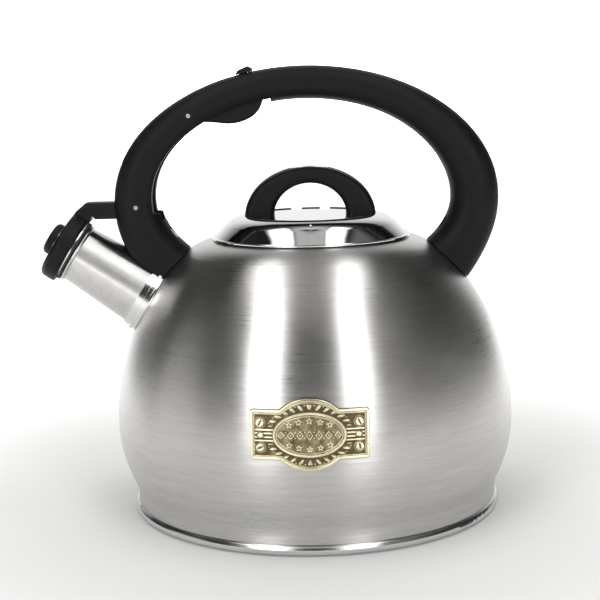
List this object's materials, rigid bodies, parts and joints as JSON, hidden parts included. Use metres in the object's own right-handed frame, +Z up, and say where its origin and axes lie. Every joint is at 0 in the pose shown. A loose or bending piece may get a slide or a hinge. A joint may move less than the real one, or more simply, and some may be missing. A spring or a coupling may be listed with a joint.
{
  "type": "stovetop whistling kettle",
  "caption": "Round-bellied steel stovetop kettle with a fixed loop handle, a trigger-opened whistling spout cap, a lift-off lid with its own loop and a front badge plate.",
  "frame": {"origin": "centre of the base disc, on the surface the kettle stands on", "axes": "+Z up through the lid, -X towards the spout, -Y towards the front with the badge; the handle lies in the XZ plane"},
  "size_m": [0.2441, 0.2087, 0.2287],
  "materials": {
    "brushed_steel": "stainless steel brushed round the pot",
    "spout_steel": "stainless steel brushed round the spout",
    "polished_steel": "polished stainless steel",
    "mirror_steel": "mirror-polished stainless steel",
    "hardware_steel": "plain steel fastener",
    "aluminium": "pressed aluminium core",
    "black_nylon": "satin soft-touch black nylon",
    "black_nylon_trigger": "satin black nylon",
    "black_nylon_lever": "satin black nylon",
    "silicone": "matt silicone",
    "adhesive_pad": "black foam tape",
    "badge_brass": "antiqued champagne brass"
  },
  "bodies": {
    "kettle": {"body_shell": "brushed_steel", "base_pan": "polished_steel", "heat_disc": "aluminium", "base_cap": "polished_steel", "spout_tube": "spout_steel", "spout_collar": "polished_steel", "front_bracket": "hardware_steel", "rear_bracket": "hardware_steel", "handle_shell": "black_nylon", "handle_screws": "hardware_steel", "trigger_pin": "hardware_steel", "lever_pin": "hardware_steel", "badge_pad": "adhesive_pad", "badge_plate": "badge_brass"},
    "trigger": {"trigger": "black_nylon_trigger", "link_pin": "hardware_steel", "trigger_spring": "hardware_steel"},
    "spout_lever": {"spout_lever": "black_nylon_lever", "whistle_plate": "polished_steel", "whistle_drum": "polished_steel", "whistle_seal": "silicone", "whistle_trim": "polished_steel", "whistle_dome": "black_nylon_lever", "cap_screw": "hardware_steel"},
    "lid": {"lid_cover": "mirror_steel", "lid_skirt": "polished_steel", "lid_loop": "black_nylon", "lid_inlay": "mirror_steel", "lid_screws": "hardware_steel", "lid_washers": "hardware_steel"}
  },
  "joints": [
    {"name": "trigger_squeeze", "type": "hinge", "parent": "kettle", "child": "trigger", "pos_m": [-0.06055, 0, 0.20459], "axis": [0, -1, 0], "range_deg": [0, 10], "stiffness_Nm_per_rad": 0.4, "springref_deg": -8.59, "deforming": ["trigger_spring"]},
    {"name": "spout_lever_open", "type": "hinge", "parent": "kettle", "child": "spout_lever", "pos_m": [-0.08897, 0, 0.15875], "axis": [0, 1, 0], "range_deg": [0, 42.5]},
    {"name": "lid_lift", "type": "slide", "parent": "kettle", "child": "lid", "axis": [0, 0, 1], "range_m": [0, 0.03]}
  ],
  "couplings": [
    {"joint": "spout_lever_open", "follows": "trigger_squeeze", "ratio": 4.2436}
  ]
}
